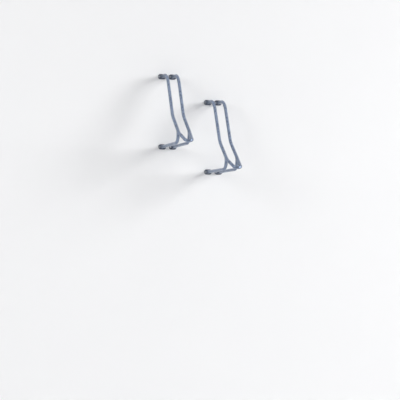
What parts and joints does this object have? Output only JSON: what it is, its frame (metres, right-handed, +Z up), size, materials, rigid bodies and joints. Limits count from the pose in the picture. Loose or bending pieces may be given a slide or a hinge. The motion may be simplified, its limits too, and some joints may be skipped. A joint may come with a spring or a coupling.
{
  "type": "two tier wall bike rack",
  "caption": "Pair of wall-mounted holders at two heights, each a bent tube loop on braces that takes the front wheel of a bike hung upright against the wall.",
  "frame": {"origin": "middle of the back face of the high holder's upper left plate, on the wall", "axes": "+X to the right along the wall, +Y into the wall, +Z up; the holders stand out towards -Y"},
  "size_m": [0.473, 0.6308, 0.712],
  "materials": {
    "zinc_tube": "bright galvanised zinc, satin, with a soft spangle",
    "zinc_plate": "galvanised zinc, a little duller than the tubes",
    "zinc_screw": "bright zinc plated",
    "grey_nylon": "matt moulded nylon"
  },
  "bodies": {
    "root": {"high_wheel_loop": "zinc_tube", "high_left_brace": "zinc_tube", "high_left_upper_plate": "zinc_plate", "high_left_upper_left_screw": "zinc_screw", "high_left_upper_left_plug": "grey_nylon", "high_left_upper_right_screw": "zinc_screw", "high_left_upper_right_plug": "grey_nylon", "high_left_lower_plate": "zinc_plate", "high_left_lower_left_screw": "zinc_screw", "high_left_lower_left_plug": "grey_nylon", "high_left_lower_right_screw": "zinc_screw", "high_left_lower_right_plug": "grey_nylon", "high_right_brace": "zinc_tube", "high_right_upper_plate": "zinc_plate", "high_right_upper_left_screw": "zinc_screw", "high_right_upper_left_plug": "grey_nylon", "high_right_upper_right_screw": "zinc_screw", "high_right_upper_right_plug": "grey_nylon", "high_right_lower_plate": "zinc_plate", "high_right_lower_left_screw": "zinc_screw", "high_right_lower_left_plug": "grey_nylon", "high_right_lower_right_screw": "zinc_screw", "high_right_lower_right_plug": "grey_nylon", "low_wheel_loop": "zinc_tube", "low_left_brace": "zinc_tube", "low_left_upper_plate": "zinc_plate", "low_left_upper_left_screw": "zinc_screw", "low_left_upper_left_plug": "grey_nylon", "low_left_upper_right_screw": "zinc_screw", "low_left_upper_right_plug": "grey_nylon", "low_left_lower_plate": "zinc_plate", "low_left_lower_left_screw": "zinc_screw", "low_left_lower_left_plug": "grey_nylon", "low_left_lower_right_screw": "zinc_screw", "low_left_lower_right_plug": "grey_nylon", "low_right_brace": "zinc_tube", "low_right_upper_plate": "zinc_plate", "low_right_upper_left_screw": "zinc_screw", "low_right_upper_left_plug": "grey_nylon", "low_right_upper_right_screw": "zinc_screw", "low_right_upper_right_plug": "grey_nylon", "low_right_lower_plate": "zinc_plate", "low_right_lower_left_screw": "zinc_screw", "low_right_lower_left_plug": "grey_nylon", "low_right_lower_right_screw": "zinc_screw", "low_right_lower_right_plug": "grey_nylon"}
  },
  "joints": []
}
